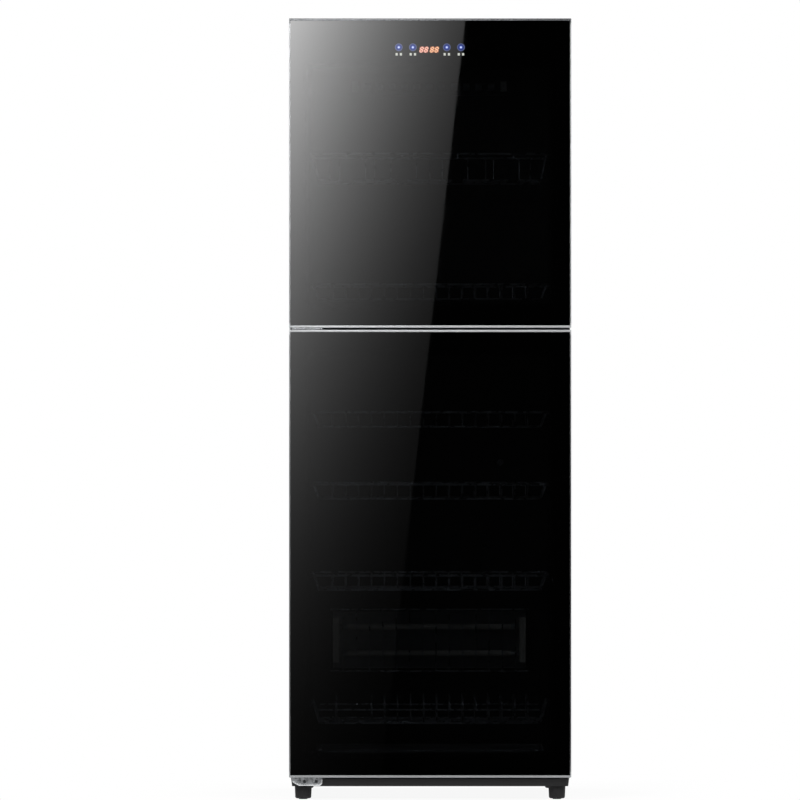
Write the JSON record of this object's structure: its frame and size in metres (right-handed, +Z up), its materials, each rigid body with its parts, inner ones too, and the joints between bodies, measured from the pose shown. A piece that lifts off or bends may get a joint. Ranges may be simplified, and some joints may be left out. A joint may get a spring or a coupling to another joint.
{
  "type": "dish sterilizer cabinet",
  "caption": "Free-standing dish sterilizer cabinet: black glass doors hinged at the left, one above the other, over pull-out wire racks and a drip tray, on a plinth with levelling feet.",
  "frame": {"origin": "on the floor, under the middle of the bounding box", "axes": "+Z up, the doors face -Y, +X to the right as seen from the front"},
  "size_m": [0.58, 0.43, 1.606],
  "materials": {
    "black_coated_steel": "satin black powder coat",
    "galvanised_steel": "plain galvanised sheet",
    "enamel_liner": "satin dark grey stove enamel",
    "stainless_tray": "fine brushed stainless sheet",
    "zinc_rails": "bright zinc plated",
    "glass_wool": "matte felt",
    "black_plastic": "fine matte moulding",
    "white_plastic": "glossy moulding",
    "chrome_wire": "bright chrome",
    "chrome_hinge": "bright chrome",
    "dark_screws": "blackened steel",
    "polished_aluminium": "polished sheet",
    "silver_trim": "satin anodised extrusion",
    "silver_plastic": "silver painted moulding",
    "black_glass": "polished dark tinted glass",
    "grey_rubber": "matte",
    "white_acetal": "smooth moulding",
    "circuit_board": "green solder mask",
    "light_guide": "clear moulding lit blue",
    "lamp_glass": "clear drawn tube",
    "quartz_glass": "milky drawn tube",
    "holder_ceramic": "unglazed"
  },
  "bodies": {
    "cabinet": {"side_panel_left": "black_coated_steel", "side_panel_right": "black_coated_steel", "top_panel": "black_coated_steel", "back_panel": "galvanised_steel", "bottom_plate": "galvanised_steel", "base_plinth": "black_plastic", "front_frame": "black_coated_steel", "mid_beam": "galvanised_steel", "upper_liner": "enamel_liner", "lower_liner": "enamel_liner", "lower_insulation": "glass_wool", "upper_rails": "zinc_rails", "lower_rails": "zinc_rails", "uv_lamp_tube": "lamp_glass", "uv_lamp_sockets": "white_plastic", "uv_lamp_guard": "polished_aluminium", "quartz_tubes": "quartz_glass", "tube_holders": "holder_ceramic", "heater_reflector": "polished_aluminium", "heater_guard": "chrome_wire", "temperature_sensor": "chrome_hinge", "power_board_case": "black_plastic", "power_board": "circuit_board", "door_sensors": "black_plastic", "cord_gland": "black_plastic", "top_hinge_plate": "chrome_hinge", "mid_hinge_plate": "chrome_hinge", "bottom_hinge_plate": "chrome_hinge", "hinge_pins": "chrome_hinge", "screws": "dark_screws"},
    "upper_door": {"upper_door_glass": "black_glass", "upper_door_stiles": "silver_trim", "upper_door_rails": "silver_trim", "upper_door_top_cap": "silver_plastic", "upper_door_bottom_cap": "silver_plastic", "upper_door_gasket": "grey_rubber", "upper_door_bushes": "white_acetal", "control_housing": "black_plastic", "control_board": "circuit_board", "display_module": "black_plastic", "touch_key_lights": "light_guide"},
    "lower_door": {"lower_door_glass": "black_glass", "lower_door_stiles": "silver_trim", "lower_door_rails": "silver_trim", "lower_door_top_cap": "silver_plastic", "lower_door_bottom_cap": "silver_plastic", "lower_door_gasket": "grey_rubber", "lower_door_bushes": "white_acetal"},
    "stemware_rack": {"stemware_rack": "chrome_wire"},
    "cup_rack": {"cup_rack": "chrome_wire"},
    "bowl_rack": {"bowl_rack": "chrome_wire"},
    "dish_rack": {"dish_rack": "chrome_wire"},
    "deep_dish_rack": {"deep_dish_rack": "chrome_wire"},
    "plate_rack": {"plate_rack": "chrome_wire"},
    "drip_tray": {"drip_tray": "stainless_tray"},
    "foot_front_left": {"foot_front_left": "black_plastic"},
    "foot_front_right": {"foot_front_right": "black_plastic"},
    "foot_rear_left": {"foot_rear_left": "black_plastic"},
    "foot_rear_right": {"foot_rear_right": "black_plastic"}
  },
  "joints": [
    {"name": "upper_door_hinge", "type": "hinge", "parent": "cabinet", "child": "upper_door", "pos_m": [-0.276, -0.2, 1.28825], "axis": [0, 0, -1], "range_deg": [0, 115]},
    {"name": "stemware_rack_slide", "type": "slide", "parent": "cabinet", "child": "stemware_rack", "axis": [0, -1, 0], "range_m": [0, 0.18]},
    {"name": "cup_rack_slide", "type": "slide", "parent": "cabinet", "child": "cup_rack", "axis": [0, -1, 0], "range_m": [0, 0.18]},
    {"name": "lower_door_hinge", "type": "hinge", "parent": "cabinet", "child": "lower_door", "pos_m": [-0.276, -0.2, 0.506], "axis": [0, 0, -1], "range_deg": [0, 115]},
    {"name": "bowl_rack_slide", "type": "slide", "parent": "cabinet", "child": "bowl_rack", "axis": [0, -1, 0], "range_m": [0, 0.18]},
    {"name": "dish_rack_slide", "type": "slide", "parent": "cabinet", "child": "dish_rack", "axis": [0, -1, 0], "range_m": [0, 0.18]},
    {"name": "deep_dish_rack_slide", "type": "slide", "parent": "cabinet", "child": "deep_dish_rack", "axis": [0, -1, 0], "range_m": [0, 0.18]},
    {"name": "plate_rack_slide", "type": "slide", "parent": "cabinet", "child": "plate_rack", "axis": [0, -1, 0], "range_m": [0, 0.18]},
    {"name": "drip_tray_slide", "type": "slide", "parent": "cabinet", "child": "drip_tray", "axis": [0, -1, 0], "range_m": [0, 0.18]},
    {"name": "foot_front_left_turn", "type": "hinge", "parent": "cabinet", "child": "foot_front_left", "pos_m": [-0.2613, -0.18, 0.01375], "axis": [0, 0, 1], "continuous": true},
    {"name": "foot_front_right_turn", "type": "hinge", "parent": "cabinet", "child": "foot_front_right", "pos_m": [0.2613, -0.18, 0.01375], "axis": [0, 0, 1], "continuous": true},
    {"name": "foot_rear_left_turn", "type": "hinge", "parent": "cabinet", "child": "foot_rear_left", "pos_m": [-0.2613, 0.185, 0.01375], "axis": [0, 0, 1], "continuous": true},
    {"name": "foot_rear_right_turn", "type": "hinge", "parent": "cabinet", "child": "foot_rear_right", "pos_m": [0.2613, 0.185, 0.01375], "axis": [0, 0, 1], "continuous": true}
  ],
  "couplings": [
    {"joint": "stemware_rack_slide", "follows": "upper_door_hinge", "m_per_rad": 0.08968},
    {"joint": "cup_rack_slide", "follows": "upper_door_hinge", "m_per_rad": 0.08968},
    {"joint": "bowl_rack_slide", "follows": "lower_door_hinge", "m_per_rad": 0.08968},
    {"joint": "dish_rack_slide", "follows": "lower_door_hinge", "m_per_rad": 0.08968},
    {"joint": "deep_dish_rack_slide", "follows": "lower_door_hinge", "m_per_rad": 0.08968},
    {"joint": "plate_rack_slide", "follows": "lower_door_hinge", "m_per_rad": 0.08968},
    {"joint": "drip_tray_slide", "follows": "lower_door_hinge", "m_per_rad": 0.08968}
  ]
}
